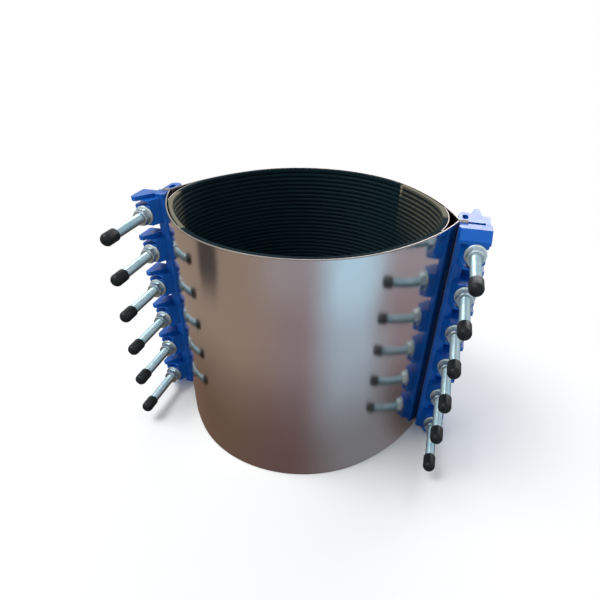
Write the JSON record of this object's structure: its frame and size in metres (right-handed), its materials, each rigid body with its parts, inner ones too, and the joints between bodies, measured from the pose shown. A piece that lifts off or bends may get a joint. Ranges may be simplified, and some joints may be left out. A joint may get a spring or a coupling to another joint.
{
  "type": "pipe repair clamp",
  "caption": "Round pipe clamp of two stainless half shells with a ribbed rubber lining, cast lugs and rows of long bolts.",
  "frame": {"origin": "on the pipe's axis, in the plane of the band's lower rim", "axes": "+Z runs along the pipe, X through the two rows of lugs, and the nuts face -Y"},
  "size_m": [0.426, 0.315, 0.3],
  "materials": {
    "shell": "polished stainless sheet",
    "lining": "ribbed black rubber",
    "bridge": "bright stainless sheet",
    "lug": "blue epoxy coating on a casting",
    "bolt": "zinc plate",
    "washer": "zinc plate",
    "nut": "zinc plate",
    "cap": "soft black moulding"
  },
  "bodies": {
    "back_half": {"back_shell": "shell", "back_gasket": "lining", "left_bridge_plate": "bridge", "left_bolt_lug": "lug", "right_bolt_lug": "lug", "left_bolt_1": "bolt", "left_bolt_2": "bolt", "left_bolt_3": "bolt", "left_bolt_4": "bolt", "left_bolt_5": "bolt", "left_bolt_6": "bolt", "right_bolt_1": "bolt", "right_bolt_2": "bolt", "right_bolt_3": "bolt", "right_bolt_4": "bolt", "right_bolt_5": "bolt", "right_bolt_6": "bolt", "left_cap_1": "cap", "left_cap_2": "cap", "left_cap_3": "cap", "left_cap_4": "cap", "left_cap_5": "cap", "left_cap_6": "cap", "right_cap_1": "cap", "right_cap_2": "cap", "right_cap_3": "cap", "right_cap_4": "cap", "right_cap_5": "cap", "right_cap_6": "cap"},
    "front_half": {"front_shell": "shell", "front_gasket": "lining", "right_bridge_plate": "bridge", "left_nut_lug": "lug", "right_nut_lug": "lug", "left_washer_1": "washer", "left_washer_2": "washer", "left_washer_3": "washer", "left_washer_4": "washer", "left_washer_5": "washer", "left_washer_6": "washer", "right_washer_1": "washer", "right_washer_2": "washer", "right_washer_3": "washer", "right_washer_4": "washer", "right_washer_5": "washer", "right_washer_6": "washer"},
    "left_nut_1_body": {"left_nut_1": "nut"},
    "left_nut_2_body": {"left_nut_2": "nut"},
    "left_nut_3_body": {"left_nut_3": "nut"},
    "left_nut_4_body": {"left_nut_4": "nut"},
    "left_nut_5_body": {"left_nut_5": "nut"},
    "left_nut_6_body": {"left_nut_6": "nut"},
    "right_nut_1_body": {"right_nut_1": "nut"},
    "right_nut_2_body": {"right_nut_2": "nut"},
    "right_nut_3_body": {"right_nut_3": "nut"},
    "right_nut_4_body": {"right_nut_4": "nut"},
    "right_nut_5_body": {"right_nut_5": "nut"},
    "right_nut_6_body": {"right_nut_6": "nut"}
  },
  "joints": [
    {"name": "halves_slide", "type": "slide", "parent": "back_half", "child": "front_half", "axis": [0, -1, 0], "range_m": [0, 0.045]},
    {"name": "left_nut_1_turn", "type": "hinge", "parent": "front_half", "child": "left_nut_1_body", "pos_m": [-0.19946, -0.0388, 0.275], "axis": [0, -1, 0], "range_deg": [0, 9260]},
    {"name": "left_nut_2_turn", "type": "hinge", "parent": "front_half", "child": "left_nut_2_body", "pos_m": [-0.19946, -0.0388, 0.225], "axis": [0, -1, 0], "range_deg": [0, 9260]},
    {"name": "left_nut_3_turn", "type": "hinge", "parent": "front_half", "child": "left_nut_3_body", "pos_m": [-0.19946, -0.0388, 0.175], "axis": [0, -1, 0], "range_deg": [0, 9260]},
    {"name": "left_nut_4_turn", "type": "hinge", "parent": "front_half", "child": "left_nut_4_body", "pos_m": [-0.19946, -0.0388, 0.125], "axis": [0, -1, 0], "range_deg": [0, 9260]},
    {"name": "left_nut_5_turn", "type": "hinge", "parent": "front_half", "child": "left_nut_5_body", "pos_m": [-0.19946, -0.0388, 0.075], "axis": [0, -1, 0], "range_deg": [0, 9260]},
    {"name": "left_nut_6_turn", "type": "hinge", "parent": "front_half", "child": "left_nut_6_body", "pos_m": [-0.19946, -0.0388, 0.025], "axis": [0, -1, 0], "range_deg": [0, 9260]},
    {"name": "right_nut_1_turn", "type": "hinge", "parent": "front_half", "child": "right_nut_1_body", "pos_m": [0.19946, -0.0388, 0.275], "axis": [0, -1, 0], "range_deg": [0, 9260]},
    {"name": "right_nut_2_turn", "type": "hinge", "parent": "front_half", "child": "right_nut_2_body", "pos_m": [0.19946, -0.0388, 0.225], "axis": [0, -1, 0], "range_deg": [0, 9260]},
    {"name": "right_nut_3_turn", "type": "hinge", "parent": "front_half", "child": "right_nut_3_body", "pos_m": [0.19946, -0.0388, 0.175], "axis": [0, -1, 0], "range_deg": [0, 9260]},
    {"name": "right_nut_4_turn", "type": "hinge", "parent": "front_half", "child": "right_nut_4_body", "pos_m": [0.19946, -0.0388, 0.125], "axis": [0, -1, 0], "range_deg": [0, 9260]},
    {"name": "right_nut_5_turn", "type": "hinge", "parent": "front_half", "child": "right_nut_5_body", "pos_m": [0.19946, -0.0388, 0.075], "axis": [0, -1, 0], "range_deg": [0, 9260]},
    {"name": "right_nut_6_turn", "type": "hinge", "parent": "front_half", "child": "right_nut_6_body", "pos_m": [0.19946, -0.0388, 0.025], "axis": [0, -1, 0], "range_deg": [0, 9260]}
  ],
  "couplings": [
    {"joint": "left_nut_1_turn", "follows": "halves_slide", "rad_per_m": 3590.4},
    {"joint": "left_nut_2_turn", "follows": "halves_slide", "rad_per_m": 3590.4},
    {"joint": "left_nut_3_turn", "follows": "halves_slide", "rad_per_m": 3590.4},
    {"joint": "left_nut_4_turn", "follows": "halves_slide", "rad_per_m": 3590.4},
    {"joint": "left_nut_5_turn", "follows": "halves_slide", "rad_per_m": 3590.4},
    {"joint": "left_nut_6_turn", "follows": "halves_slide", "rad_per_m": 3590.4},
    {"joint": "right_nut_1_turn", "follows": "halves_slide", "rad_per_m": 3590.4},
    {"joint": "right_nut_2_turn", "follows": "halves_slide", "rad_per_m": 3590.4},
    {"joint": "right_nut_3_turn", "follows": "halves_slide", "rad_per_m": 3590.4},
    {"joint": "right_nut_4_turn", "follows": "halves_slide", "rad_per_m": 3590.4},
    {"joint": "right_nut_5_turn", "follows": "halves_slide", "rad_per_m": 3590.4},
    {"joint": "right_nut_6_turn", "follows": "halves_slide", "rad_per_m": 3590.4}
  ]
}
